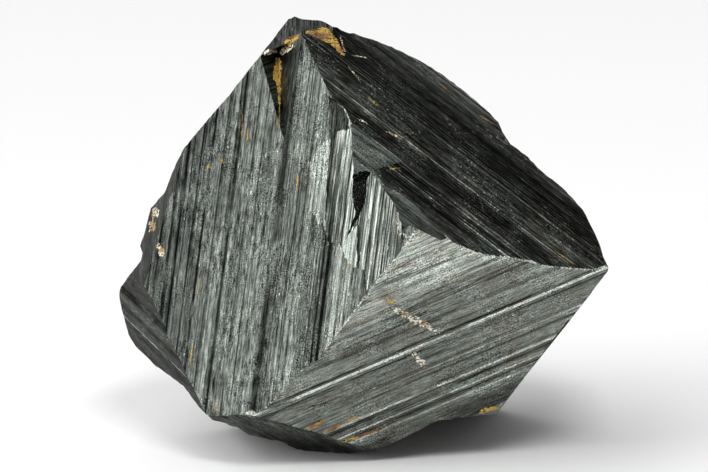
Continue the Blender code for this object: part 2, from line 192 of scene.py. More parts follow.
HOLLOW = [
    (-2.77, 5.32), (-1.81, 5.64), (-1.33, 5.52), (-1.65, 4.92), (-1.7, 3.96), (-1.81, 3.08), (-2.25, 2.08),
    (-2.69, 1.32), (-3.22, 0.36), (-2.85, 1.56), (-2.53, 2.24), (-2.78, 3.08), (-2.8, 4.28),
]
STAIR_TOP = [
    (-4.62, 11.44), (-4.05, 11.0), (-3.45, 10.44), (-3.17, 9.8), (-3.05, 9.0), (-3.49, 8.88), (-3.97, 8.76),
    (-4.29, 8.36), (-4.58, 8.12), (-4.7, 9.72),
]
LOWER_STAIR = [
    (-1.33, 5.52), (-0.93, 4.92), (-0.57, 4.48), (0.17, 3.48), (0.58, 2.76), (0.99, 1.56), (1.13, 0.84),
    (1.23, 0.28), (0.99, -0.76), (-0.21, -2.24), (-1.49, -3.64), (-1.59, -4.8), (-1.86, -3.58),
    (-1.93, -2.23), (-2.41, -2.12), (-2.33, 1.32), (-2.13, 3.0), (-1.73, 4.0), (-1.59, 5.08),
]
LOWER_TREAD = [
    (-0.61, 4.56), (-0.21, 4.4), (1.63, 3.48), (4.67, 0.28), (4.19, 0.08), (2.99, 0.68), (1.63, 1.28),
    (1.13, 0.88), (0.99, 1.56), (0.58, 2.76), (0.17, 3.48),
]
LONG_FLAKE = [
    (-5.25, 7.64), (-4.53, 8.12), (-4.77, 5.72), (-4.93, 3.32), (-4.98, 0.92), (-4.81, 0.36), (-5.17, 1.56),
    (-5.49, 1.16), (-5.69, 1.96), (-6.21, 2.52), (-6.25, 4.04), (-6.21, 6.28), (-5.45, 7.64),
]
SHORT_FLAKE = [
    (-2.41, 1.32), (-3.17, 0.48), (-3.35, -0.04), (-3.62, -0.6), (-3.42, -1.22), (-2.74, -2.02),
    (-2.47, -2.06), (-2.43, -0.04),
]
SLIVER = [(0.71, 2.28), (0.85, 2.36), (1.05, 0.92), (0.96, 0.2), (0.78, 1.08)]

# How deep they are cut: sinks are below the left face, depths are from the front corner along the view
INNER_STAIR_SINK = 1.32
LOWER_STAIR_SINK = 1.22
UPPER_TREAD_DEPTH = 4.24
LOWER_TREAD_DEPTH = 2.42
HOLLOW_DEPTH = 5.15
STAIR_TOP_DEPTH = 6.0
LONG_FLAKE_SINK = 0.28
SHORT_FLAKE_SINK = 1.02
SLIVER_SINK = 1.0
FLAKE_ROOT = 9.0
FRAY = 0.3
HOLLOW_FRAY = 0.22
FLAKE_FRAY = 0.28
WALL_FRAY = 0.35
WALL_BITE = 0.25
TOOTH_WIDTH = 0.27

# Flats of the cap's roof, as the sides; then corners of the rim strip and the notch, right, up and forward
CAP_ROOF = {"cap_left": (110.0, 65.0, 12.6), "cap_right": (84.0, 65.0, 10.66)}
RIM = [(-16.77, 5.72, -12.6), (-18.45, 0.12, -13.3), (-19.33, -2.68, -13.9)]
RIM_BACK = [(-19.0, 2.68, -16.6), (-20.6, -2.0, -16.8)]
NOTCH_TOP_LEFT = (-10.14, 14.81, -8.43)
NOTCH_TIP = (-6.80, 16.46, -6.28)
NOTCH_FOOT = (-8.21, 8.36, -6.50)
NOTCH_BED = (-8.85, 14.92, -9.90)

# The photograph's frame: its size, the front corner's pixel, and millimetres a pixel at the crystal's middle
PICTURE = (708, 472)
CORNER_PIXEL = (387.6, 241.5)
PIXEL = 0.08
MIDDLE_DEPTH = 12.0
CAMERA_DISTANCE = 900.0

# Outline of the crystal in the photograph, in pixels, clockwise from the cap
OUTER_WALL = [
    (260.8, 56.4), (288.5, 19), (294.5, 16.3), (303, 19.5), (321.6, 21), (330, 25.5), (341, 31),
    (358.5, 36), (368, 39), (399.7, 51), (420, 61), (443, 75), (467, 93.5), (484, 108), (498, 122),
    (502, 132), (510, 144.5), (524.5, 155), (545, 175), (565, 191), (582, 210), (594, 234), (599, 246.5),
    (602, 257), (607, 267), (606, 275), (497.8, 413.4), (476.5, 415.7), (434, 421.6), (403.4, 438),
    (379.8, 447.6), (356, 452.3), (313.7, 453.5), (297, 450), (280.7, 441.7), (249, 435), (237.6, 427),
    (212.8, 419.6), (199.5, 407), (183, 385.6), (154.7, 367.4), (133, 347.5), (125.7, 336), (119, 311),
    (116.6, 296), (118, 288), (130, 273), (139.8, 261), (141.5, 253), (139, 246), (144.8, 228),
    (149.8, 208), (163.8, 193), (175.5, 164), (184.6, 147), (209.5, 117), (229.4, 96), (241, 79.6),
]

# Crust and pale crumbs in the photograph's pixels: outlines, and streaks as two ends and a width
LIMONITE_FIELDS = [
    [
        (305.8, 32.6), (321, 27.6), (326.5, 28.4), (331, 33), (337.2, 38.3), (338.7, 46), (342.5, 49.8),
        (344, 54.4), (341.8, 55.1), (337.2, 49.8), (330.3, 43.7), (322.6, 40.6), (313.5, 36.8),
    ],
    [(301.2, 33.7), (293.6, 36), (289, 38.3), (282.8, 44.4), (289, 45.2), (298.1, 38.3)],
    [
        (276.7, 58), (281.3, 58), (280.6, 79), (280.9, 90), (279.9, 104), (278.9, 104), (278, 86),
        (273.7, 79), (273.7, 71),
    ],
]
LIMONITE_STREAKS = [
    (279.5, 104, 279, 134, 1.0), (242.6, 114, 241.5, 138, 1.3), (248, 128, 247, 144, 1.1),
    (297.5, 174, 296.5, 191, 1.5), (206.5, 170, 209, 164, 2.2), (221, 158, 223.5, 163, 1.8),
    (199, 278, 197, 297, 1.2), (193, 344, 190, 363, 1.4), (130, 269, 136, 265, 3.2),
    (306, 430, 325, 420, 3.2), (326, 432, 342, 424, 3.4), (344, 422, 358, 417, 2.2),
    (340, 442, 382, 429, 2.8), (480, 412, 499, 407, 3.8), (386, 298, 395, 303, 2.8),
    (368, 98, 378, 106, 1.0), (440, 84, 452, 94, 0.8), (479, 115, 495, 125, 0.8), (554, 250, 574, 264, 0.9),
    (390, 169, 400, 168, 1.2), (212, 404, 218, 412, 1.8), (345, 264, 356, 268, 1.3),
]
PALE_FIELDS = [
    [(151, 212), (155, 207), (159, 211), (158, 217), (152, 219)],
    [(149, 223), (153, 220), (156, 225), (154, 232), (149, 231)],
    [(156, 246), (160, 243), (165, 250), (165, 256), (160, 255)],
    [(279, 52), (285, 46), (294, 45), (289, 51), (283, 56)],
    [(264, 54), (268, 50), (276, 49), (277, 52), (270, 54)],
]
PALE_STREAKS = [
    (284, 52, 294, 46, 2.4), (266, 52, 276, 51, 1.8), (340, 36, 345, 52, 1.6), (390, 307, 408, 316, 4.5),
    (403, 314, 424, 325, 8.0), (416, 320, 438, 332, 7.0), (412, 352, 427, 368, 6.0),
    (401, 233, 410, 238, 2.2), (404, 240, 416, 246, 1.5), (348, 66, 361, 82, 1.3), (352, 55, 368, 58, 1.4),
    (391, 134, 400, 138, 1.2), (358, 119, 368, 124, 1.8), (386, 131, 399, 137, 1.5),
    (397, 214, 398.5, 239, 1.5), (369, 292, 366, 300, 1.6),
]

# Lumps: sizes in pixels or as shares of a streak's width, how far they stray, and the rust's colour
LARGEST_LUMP = 3.2
STREAK_LUMPS = (0.2, 0.5)
STREAK_SPREAD = 0.45
STREAK_SWING = 12
FIELD_SPACING = 1.5
FIELD_JITTER = 0.4
FIELD_LUMPS = (0.9, 1.7)
KNOBS_PER_METRE = 4500.0
RUST_SHARES = (0.35, 0.25, 0.5)

# Laths: their steps and widths as shares of the mean, least flat, and stations along flanks and edges
LATH_STEPS = (0.2, 1.9)
LATH_WIDTHS = (0.5, 1.7)
LATH_FLAT = 0.03
LAST_LATH = 0.6
FLANK_RINGS = 10
EDGE_STEP = 0.3
EDGE_STEPS = (-8, 120)

# Waves of a crest: features per metre across, up and along, for each amount that scales them
CREST_WAVES = {"Wander": (2300.0, 0.0, 150.0), "Swell": (260.0, 0.0, 110.0)}

# The break at the back: cells a side; height, size and shift of each swell; slope across and up
BREAK_CELLS = 90
BREAK_SWELLS = [(1.9, 11, (SEED, 0, 3)), (0.9, 4, (7, 0, SEED)), (0.25, 1.3, (2, 0, SEED))]
BREAK_TILT = (0.1, -0.12)

# Studio, in millimetres for the sensor and metres for the rest
SENSOR = 36.0
SIGHT = 10.0
FLOOR_REACH = 3.0
FLOOR_TONE = 0.93
SURROUNDINGS = 1.32

# Dark parts of the surroundings: direction, angles where they are full and gone, and what light they keep
DARK_PATCHES = [((0.57, -0.17, 0.8), 38, 60, 0.05), ((0.0, -0.98, 0.2), 14, 32, 0.22)]

# Lights: place and aim from the crystal's middle, side and power
LIGHTS = {
    "left softbox": ((-0.45, -0.2, 0.3), (0, 0, 0), 0.3, 1.0),
    "floor light": ((0.1, -0.4, 0.55), (0.03, -0.05, -0.02), 0.24, 2.0),
}


class CrystalSizes(bpy.types.PropertyGroup):
    """Sizes of the growth striae."""

    lath_pitch: FloatProperty(
        name="Lath pitch", description="Mean width of one growth lath",
        default=0.2 * MM, unit="LENGTH", precision=5)
    lath_relief: FloatProperty(
        name="Lath relief", description="Mean height of the step beside a lath",
        default=0.032 * MM, unit="LENGTH", precision=5)
    wander: FloatProperty(
        name="Wander", description="How far a lath's crest wanders up and down along its length",
        default=0.016 * MM, unit="LENGTH", precision=5)
    rings: IntProperty(name="Rings", description="Stations along each lath", default=26, min=2)


class CrystalColours(bpy.types.PropertyGroup):
    """Colours of the crystal and its crust."""

    magnetite: FloatVectorProperty(
        name="Magnetite", description="Reflection colour of a fresh face",
        subtype="COLOR", default=(0.163, 0.18, 0.163), min=0, max=1)
    tarnish: FloatVectorProperty(
        name="Tarnish", description="Dull film along the edges",
        subtype="COLOR", default=(0.12, 0.105, 0.085), min=0, max=1)
    limonite: FloatVectorProperty(
        name="Limonite", description="Ochre iron stain",
        subtype="COLOR", default=(0.52, 0.33, 0.06), min=0, max=1)


def facing(azimuth, inclination):
    """Unit vector of a direction given by azimuth and inclination."""
    azimuth = math.radians(azimuth)
    inclination = math.radians(inclination)
    across = math.sin(inclination)
    return Vector((across * math.cos(azimuth), -math.cos(inclination), across * math.sin(azimuth)))


CUBE_AXES = [facing(SPIN + 120 * turn, CUBE_INCLINATION) for turn in (1, 2, 0)]


def lattice(first, second, third):
    """Unit vector of a lattice direction, from its three indices."""
    total = Vector()
    for index, axis in zip((first, second, third), CUBE_AXES):
        total += index * axis
    return total.normalized()


# Growth faces: the way each one looks, and the long diagonal that its striae follow
LEFT_FACE = (lattice(1, 1, 0), lattice(1, -1, 0))
LOWER_FACE = (lattice(0, 1, 1), lattice(0, 1, -1))
UPPER_FACE = (lattice(1, 0, 1), lattice(-1, 0, 1))


def place(right, up, forward):
    """Point of the crystal's frame in metres."""
    return Vector((right, -forward, up)) * MM


def seen(x, y):
    """Where a pixel lies, right and up from the front corner, at the crystal's middle depth."""
    return (x - CORNER_PIXEL[0]) * PIXEL, (CORNER_PIXEL[1] - y) * PIXEL


def eye():
    """Where the camera stands."""
    return STANCE @ place(*seen(PICTURE[0] / 2, PICTURE[1] / 2), CAMERA_DISTANCE)


def turned(direction):
    """Direction of the crystal's frame as it stands in the scene."""
    return STANCE.to_3x3() @ direction


def axes_frame(x_axis, y_axis, z_axis):
    return Matrix((x_axis, y_axis, z_axis)).transposed().to_4x4()


# Materials

class Wiring:
    """Short hand for building a node tree."""

    def __init__(self, tree):
        self.tree = tree

    def add(self, kind, inputs=None, **settings):
        """New node with its settings, and with inputs fed by name or place."""
        node = self.tree.nodes.new(kind)
        for key, value in settings.items():
            setattr(node, key, value)
        for key, value in (inputs or {}).items():
            self.feed(node.inputs[key], value)
        return node

    def feed(self, socket, value):
        """Links a socket, or sets a plain value on it."""
        if isinstance(value, bpy.types.NodeSocket):
            self.tree.links.new(value, socket)
        else:
            socket.default_value = value

    def math(self, operation, *values):
        return self.add("ShaderNodeMath", dict(enumerate(values)), operation=operation).outputs[0]

    def centred(self, value):
        return self.math("SUBTRACT", value, 0.5)

    def dot(self, vector, direction):
        node = self.add("ShaderNodeVectorMath", {0: vector, 1: direction}, operation="DOT_PRODUCT")
        return node.outputs["Value"]

    def join(self, **parts):
        return self.add("ShaderNodeCombineXYZ", parts).outputs[0]

    def ramp(self, value, low, high, start=0.0, end=1.0):
        """Start below low, end above high, and smooth between."""
        inputs = {"Value": value, "From Min": low, "From Max": high, "To Min": start, "To Max": end}
        return self.add("ShaderNodeMapRange", inputs, interpolation_type="SMOOTHSTEP").outputs[0]


class Finish(Wiring):
    """A material in the making, whose patterns read the object's own coordinates."""

    def __init__(self, name):
        self.material = bpy.data.materials.new(name)
        self.material.use_nodes = True
        super().__init__(self.material.node_tree)
        self.spot = self.add("ShaderNodeTexCoord").outputs["Object"]

    def done(self, inputs):
        """Feeds the shader's own sockets and hands over the material."""
        shader = self.tree.nodes["Principled BSDF"]
        for name, value in inputs.items():
            self.feed(shader.inputs[name], value)
        return self.material

    def reach(self, direction):
        """Millimetres from the front corner along a direction of the crystal."""
        stood = turned(direction).normalized()
        return self.math("MULTIPLY_ADD", self.dot(self.spot, stood), 1 / MM, -CORNER.dot(stood) / MM)

    def cloud(self, scale, detail=2.0, rough=0.5, vector=None):
        """Noise; its scale is in features per metre on the object's own coordinates."""
        inputs = {"Vector": vector or self.spot, "Scale": scale, "Detail": detail, "Roughness": rough}
        return self.add("ShaderNodeTexNoise", inputs).outputs["Fac"]

    def streaks(self, a, b, across, along, offset, detail):
        """Noise drawn out along the striae; across and along are its features per millimetre."""
        spot = self.join(X=self.math("MULTIPLY", a, across), Y=self.math("MULTIPLY", b, along), Z=offset)
        return self.cloud(1.0, detail, 0.6, spot)

    def vary(self, shade, pattern, gain, base=1.0):
        """A shade times the base and a gain of the pattern."""
        return self.math("MULTIPLY", shade, self.math("MULTIPLY_ADD", pattern, gain, base))

    def mix(self, share, first, second):
        return self.add("ShaderNodeMix", {0: share, 6: first, 7: second}, data_type="RGBA").outputs[2]

    def bump(self, height, distance, strength=1.0, before=None):
        inputs = {"Strength": strength, "Distance": distance, "Height": height}
        if before is not None:
            inputs["Normal"] = before
        return self.add("ShaderNodeBump", inputs).outputs[0]


class Growth(Wiring):
    """A geometry tree in the making; its inputs are given as name, kind and default."""

    def __init__(self, name, inputs):
        super().__init__(bpy.data.node_groups.new(name, "GeometryNodeTree"))
        face = self.tree.interface
        for label, kind, default in inputs:
            item = face.new_socket(name=label, in_out="INPUT", socket_type=f"NodeSocket{kind}")
            if default is not None:
                item.default_value = default
        face.new_socket(name="Geometry", in_out="OUTPUT", socket_type="NodeSocketGeometry")
        self.given = self.add("NodeGroupInput").outputs

    def done(self, geometry):
        """Makes the instances real, sets the finish and hands over the tree."""
        solid = self.add("GeometryNodeRealizeInstances", {"Geometry": geometry}).outputs[0]
        dressed = self.add("GeometryNodeSetMaterial", {"Geometry": solid, "Material": self.given["Finish"]})
        self.add("NodeGroupOutput", {0: dressed.outputs[0]})
        return self.tree


def colour(values, share=1.0):
    return (*(share * value for value in values), 1.0)


def striated_finish(name, across, along, lines=(), frost=0.5, tone_and_painted_light=1.0, contrast=1.0, rough=0.36, fine=1.0,
                    film=0.5, sheen=1.0, painted_specks=0.0, scaly=0.0):
    """Face of magnetite: hair-fine striae along one direction, drawn lines of painted light and shade,
    frosted grain, tarnish, painted highlights, and a brightness that partly paints how the face is lit.
    """
    shades = bpy.context.scene.crystal_colours
    n = Finish(name)
    a = n.reach(across)
    b = n.reach(along)
    hair = n.streaks(a, b, 10.0, 1.0 / fine, 0.0, 3.0)
    strands = n.streaks(a, b, 2.6 * fine, 0.14 / fine, 7.0, 2.0)
    bands = n.streaks(a, b, 0.7, 0.06, 3.0, 2.0)
    seams = n.streaks(a, b, 1.5, 0.035, 11.0, 1.0)
    painted_glints = n.streaks(a, b, 7.0, 1.4, 5.0, 2.0)
    scales = n.streaks(a, b, 2.4, 0.8, 15.0, 2.0)
    grain = n.cloud(9000.0, 3.0, 0.7)
    frosted = n.ramp(n.cloud(330.0, 3.0), 0.4, 0.6)
    shade = n.math("MULTIPLY_ADD", n.centred(hair), 2.8 * contrast, 1.0)
    shade = n.vary(shade, n.centred(strands), 1.1 * contrast)
    shade = n.vary(shade, n.centred(bands), 1.2 * contrast)
    shade = n.math("ADD", shade, n.vary(n.centred(grain), frosted, 4.2 * frost, 1.4))
    shade = n.vary(shade, n.ramp(n.math("ABSOLUTE", n.centred(seams)), 0.002, 0.022), 0.5, 0.5)
    # Painted highlights: short bright dashes along the striae, stronger on frosted patches
    painted_sparkle = n.vary(n.ramp(painted_glints, 0.64, 0.76), frosted, 0.8, 0.5)
    shade = n.math("MULTIPLY_ADD", painted_sparkle, 2.0 * contrast, shade)
    if scaly:
        flecks = n.math("MULTIPLY", n.centred(scales), n.ramp(n.cloud(150.0, 1.0), 0.42, 0.62))
        shade = n.math("MULTIPLY_ADD", flecks, scaly, shade)
    # Painted highlights: tiny bright points on the frosted patches
    if painted_specks:
        painted_dots = n.math("MULTIPLY", n.ramp(n.cloud(4200.0, 1.0), 0.66, 0.72), frosted)
        shade = n.math("MULTIPLY_ADD", painted_dots, painted_specks, shade)
    wavy = n.math("MULTIPLY_ADD", n.centred(n.streaks(a, b, 0.02, 0.35, 9.0, 2.0)), 0.14, a)
    # Painted light and shade: each line darkens or brightens the face, dark ones as shadow at the levels'
    # steps, bright ones as highlights
    for at, half, gain in lines:
        off = n.math("ABSOLUTE", n.math("SUBTRACT", wavy, at))
        drawn = n.math("SUBTRACT", 1.0, n.ramp(off, 0.4 * half, half))
        uneven = n.ramp(n.streaks(a, b, 0.3, 0.22, at, 2.0), 0.3, 0.52)
        shade = n.vary(shade, n.math("MULTIPLY", drawn, uneven), gain)
    shade = n.math("POWER", n.math("MAXIMUM", shade, 0.05), 1.45)
    dull = n.math("MULTIPLY", n.ramp(n.cloud(600.0, 3.0), 0.72 - 0.4 * film, 0.72), film)
    filmed = [magnetite + tarnish for magnetite, tarnish in zip(shades.magnetite, shades.tarnish)]
    skin = n.mix(dull, colour(shades.magnetite), colour(filmed, 0.5))
    # Brightness of the whole face: partly its own darkness, partly painted light and shade for how the face
    # is lit
    shade = n.math("MULTIPLY", shade, tone_and_painted_light)
    shaded = n.add("ShaderNodeVectorMath", {0: skin, "Scale": shade}, operation="SCALE")
    relief = n.bump(hair, 0.018 * MM)
    relief = n.bump(n.math("MULTIPLY", scales, frosted), 0.09 * MM, frost, relief)
    relief = n.bump(strands, 0.03 * MM, 1.0, relief)
    gloss = n.math("MULTIPLY_ADD", frosted, 0.14 * frost, n.math("MULTIPLY_ADD", strands, 0.2, rough - 0.1))
    return n.done({"Base Color": shaded.outputs[0], "Metallic": 1.0, "Specular Tint": colour([sheen] * 3),
                   "Roughness": gloss, "Normal": n.bump(grain, 0.01 * MM, frost, relief)})


def pit_finish(name):
    """Etched hollow painted near black for the shade in it, with painted highlights on a few glinting grains.
    """
    n = Finish(name)
    grain = n.cloud(9500.0, 2.0, 0.7)
    # The near-black colour paints the hollow's shade; the bright share paints highlights on a few grains
    base = n.mix(n.ramp(grain, 0.58, 0.66), (0.02, 0.021, 0.02, 1), (0.55, 0.58, 0.55, 1))
    relief = n.bump(grain, 0.15 * MM)
    return n.done({"Base Color": base, "Metallic": 0.9, "Roughness": 0.35, "Normal": relief})


def break_finish(name):
    """Broken surface: near black and granular, browner where its lumps rise, with a few bright grains."""
    shades = bpy.context.scene.crystal_colours
    n = Finish(name)
    grain = n.cloud(1900.0, 4.0, 0.65)
    lumps = n.cloud(330.0, 3.0)
    base = n.mix(n.ramp(lumps, 0.45, 0.75), colour(shades.magnetite, 0.26), colour(shades.tarnish, 0.45))
    base = n.mix(n.ramp(grain, 0.58, 0.72), base, colour(shades.magnetite, 1.1))
    gloss = n.math("MULTIPLY_ADD", grain, 0.3, 0.35)
    relief = n.bump(lumps, 0.9 * MM, 0.8, n.bump(grain, 0.25 * MM))
    return n.done({"Base Color": base, "Metallic": 0.85, "Roughness": gloss, "Normal": relief})


def limonite_finish(name):
    """Earthy ochre crust with darker, rustier blotches."""
    limonite = bpy.context.scene.crystal_colours.limonite
    n = Finish(name)
    grain = n.cloud(3000.0, 4.0, 0.7)
    rust = colour([part * share for part, share in zip(limonite, RUST_SHARES)])
    base = n.mix(n.ramp(n.cloud(900.0), 0.33, 0.56), rust, colour(limonite))
    base = n.mix(n.ramp(grain, 0.62, 0.8), base, (0.75, 0.62, 0.4, 1))
    return n.done({"Base Color": base, "Roughness": 0.8, "Normal": n.bump(grain, 0.08 * MM)})


def crumb_finish(name):
    """Cream grains, some of them stained."""
    n = Finish(name)
    base = n.mix(n.ramp(n.cloud(1500.0), 0.46, 0.6), (0.8, 0.77, 0.66, 1), (0.42, 0.27, 0.11, 1))
    return n.done({"Base Color": base, "Roughness": 0.5, "Normal": n.bump(n.cloud(6000.0, 3.0), 0.04 * MM)})


# Striated blocks

def laths(levels, seed, lift=0.0):
    """Stepped line through the levels: each lath climbs a short octahedral facet, then sinks slowly."""
    sizes = bpy.context.scene.crystal_sizes
    pitch = sizes.lath_pitch / MM
    relief = sizes.lath_relief / MM
    dice = random.Random(SEED + seed)
    line = []
    for (start, low), (end, high) in zip(levels, levels[1:]):
        at = start
        while at < end - LAST_LATH * pitch:
            ground = low + (high - low) * (at - start) / (end - start) + lift
            step = relief * dice.uniform(*LATH_STEPS)
            width = pitch * dice.uniform(*LATH_WIDTHS)
            line.append((at, ground - step / 2))
            line.append((at + step / OCTAHEDRAL_RISE, ground + step / 2))
            at += max(width, step / OCTAHEDRAL_RISE + LATH_FLAT)
        if at == start:
            line.append((start, low + lift))
    line.append((levels[-1][0], levels[-1][1] + lift))
    return line


def striated_block_tree():
    """Sweeps a stepped outline along the striae, lets each crest wander, and gives it its finish."""
    n = Growth("striated block", (
        ("Outline", "Geometry", None), ("Length", "Float", 2 * BLANK * MM), ("Rings", "Int", 20),
        ("Wander", "Float", 0.0), ("Swell", "Float", 0.0), ("Seed", "Float", 0.0),
        ("Finish", "Material", None),
    ))
    start, end = (n.join(Z=n.math("MULTIPLY", n.given["Length"], share)) for share in (-0.5, 0.5))
    path = n.add("GeometryNodeCurvePrimitiveLine", {"Start": start, "End": end}).outputs[0]
    stations = n.add("GeometryNodeResampleCurve", {"Curve": path, "Count": n.given["Rings"]}).outputs[0]
    sweep = n.add("GeometryNodeCurveToMesh", {"Curve": stations, "Profile Curve": n.given["Outline"],
                                              "Fill Caps": True}).outputs[0]
    spot = n.add("GeometryNodeInputPosition").outputs[0]
    rises = []
    for amount, frequency in CREST_WAVES.items():
        stretched = n.add("ShaderNodeVectorMath", {0: spot, 1: frequency}, operation="MULTIPLY").outputs[0]
        inputs = {"Vector": stretched, "W": n.given["Seed"], "Scale": 1.0, "Detail": 1.0}
        field = n.add("ShaderNodeTexNoise", inputs, noise_dimensions="4D").outputs["Fac"]
        rises.append(n.math("MULTIPLY", n.centred(field), n.given[amount]))
    up = n.add("ShaderNodeSeparateXYZ", {0: spot}).outputs["Y"]
    top = n.add("FunctionNodeCompare", {"A": up, "B": -0.4 * BLANK * MM}, operation="GREATER_THAN").outputs[0]
    moved = n.add("GeometryNodeSetPosition", {"Geometry": sweep, "Selection": top,
                                              "Offset": n.join(Y=n.math("ADD", *rises))}).outputs[0]
    return n.done(n.add("GeometryNodeTriangulate", {"Mesh": moved}).outputs[0])


def set_inputs(modifier, values):
    """Sets a nodes modifier's inputs by their sockets' identifiers."""
    for item in modifier.node_group.interface.items_tree:
        if item.in_out == "INPUT" and item.name in values:
            modifier[item.identifier] = values[item.name]


def add_object(name, data):
    item = bpy.data.objects.new(name, data)
    bpy.context.scene.collection.objects.link(item)
    return item


def shaped_mesh(name, shape, finish=None):
    """Plain object of a shape in the making, which is freed."""
    mesh = bpy.data.meshes.new(name)
    shape.to_mesh(mesh)
    shape.free()
    if finish:
        mesh.materials.append(finish)
    return add_object(name, mesh)


def evaluated_mesh(item):
    bpy.context.view_layer.update()
    return bpy.data.meshes.new_from_object(item.evaluated_get(bpy.context.evaluated_depsgraph_get()))


def outline_curve(name, points):
    curve = bpy.data.curves.new(name, "CURVE")
    curve.dimensions = "3D"
    spline = curve.splines.new("POLY")
    spline.points.add(len(points) - 1)
    for point, (x, y) in zip(spline.points, points):
        point.co = (x * MM, y * MM, 0, 1)
    spline.use_cyclic_u = True
    return add_object(name, curve)


def swept_block(name, outline, matrix, finish, length=2 * BLANK, rings=2, wander=0.0, swell=0.0, seed=0):
    """Closed block of an outline, swept by the node tree and put in its frame."""
    drawn = outline_curve(name, outline)
    tree = bpy.data.node_groups.get("striated block") or striated_block_tree()
    modifier = drawn.modifiers.new("striae", "NODES")
    modifier.node_group = tree
    set_inputs(modifier, {"Length": length * MM, "Rings": rings, "Wander": wander, "Swell": swell,
                          "Seed": float(seed), "Finish": finish})
    mesh = evaluated_mesh(drawn)
    curve = drawn.data
    bpy.data.objects.remove(drawn)
    bpy.data.curves.remove(curve)
    shape = bmesh.new()
    shape.from_mesh(mesh)
    bmesh.ops.remove_doubles(shape, verts=shape.verts, dist=1e-8)
    bmesh.ops.transform(shape, matrix=matrix, verts=shape.verts)
    bmesh.ops.recalc_face_normals(shape, faces=shape.faces)
    shape.to_mesh(mesh)
    shape.free()
    return add_object(name, mesh)


def face_block(name, normal, along, levels, seed, finish, lift=0.0, rings=None, swell=5.0):
    """Everything below one striated face."""
    sizes = bpy.context.scene.crystal_sizes
    along = (along - normal * along.dot(normal)).normalized()
    line = laths(levels, seed, lift)
    outline = line + [(line[-1][0] + BLANK, line[-1][1]), (line[-1][0] + BLANK, -BLANK),
                      (line[0][0] - BLANK, -BLANK), (line[0][0] - BLANK, line[0][1])]
    return swept_block(name, outline, axes_frame(normal.cross(along), normal, along), finish,
                       rings=rings or sizes.rings, wander=2 * sizes.wander, swell=swell * sizes.wander,
                       seed=seed)


def view_prism(name, outline, finish, reach=BLANK):
    """Block of a front outline that runs along the three-fold axis."""
    return swept_block(name, outline, axes_frame(Vector((1, 0, 0)), Vector((0, 0, 1)), Vector((0, -1, 0))),
                       finish, length=2 * reach)


def block(name, faces, finish):
    """Convex block: a cube cut by flat faces, each a direction and a distance in millimetres."""
    shape = bmesh.new()
    bmesh.ops.create_cube(shape, size=BLANK * MM, matrix=Matrix.Translation(place(0, 0, -BLANK / 4)))
    for normal, distance in faces:
        cut = bmesh.ops.bisect_plane(shape, geom=shape.verts[:] + shape.edges[:] + shape.faces[:],
                                     plane_co=normal * distance * MM, plane_no=normal, clear_outer=True)
        rim = [edge for edge in cut["geom_cut"] if isinstance(edge, bmesh.types.BMEdge)]
        bmesh.ops.edgenet_fill(shape, edges=rim)
    bmesh.ops.triangulate(shape, faces=shape.faces)
    bmesh.ops.recalc_face_normals(shape, faces=shape.faces)
    return shaped_mesh(name, shape, finish)


def plane_through(first, second, third, outward):
    """Direction and distance of the plane through three points, pointing the way that outward does."""
    first, second, third = (Vector((p[0], -p[2], p[1])) for p in (first, second, third))
    normal = (second - first).cross(third - first).normalized()
    if normal.dot(Vector((outward[0], -outward[2], outward[1]))) < 0:
        normal.negate()
    return normal, normal.dot(first)


def carve(item, other, operation):
    """Joins or cuts with another block, keeps its finish on the new faces, and removes it."""
    step = item.modifiers.new(other.name, "BOOLEAN")
    step.operation = operation
    step.solver = "MANIFOLD"
    step.material_mode = "TRANSFER"
    step.object = other
    mesh = evaluated_mesh(item)
    item.modifiers.clear()
    spent = item.data
    item.data = mesh
    bpy.data.meshes.remove(spent)
    spent = other.data
    bpy.data.objects.remove(other)
    bpy.data.meshes.remove(spent)


def break_sheet(finish):
    """Block behind the uneven break at the back."""
    shape = bmesh.new()
    stand = Matrix.Translation(place(0, 0, -BACK_DEPTH)) @ Matrix.Rotation(math.radians(90), 4, "X")
    bmesh.ops.create_grid(shape, x_segments=BREAK_CELLS, y_segments=BREAK_CELLS, size=BLANK * MM / 2,
                          matrix=stand)
    for corner in shape.verts:
        spot = corner.co / MM
        flat = Vector((spot.x, 0, spot.z))
        rise = sum(height * noise.noise(flat / size + Vector(shift)) for height, size, shift in BREAK_SWELLS)
        corner.co.y += (rise + BREAK_TILT[0] * spot.x + BREAK_TILT[1] * spot.z) * MM
    pushed = bmesh.ops.extrude_face_region(shape, geom=shape.faces[:])
    moved = [item for item in pushed["geom"] if isinstance(item, bmesh.types.BMVert)]
    bmesh.ops.translate(shape, verts=moved, vec=(0, BLANK * MM / 2, 0))
    bmesh.ops.triangulate(shape, faces=shape.faces)
    bmesh.ops.recalc_face_normals(shape, faces=shape.faces)
    return shaped_mesh("back break", shape, finish)


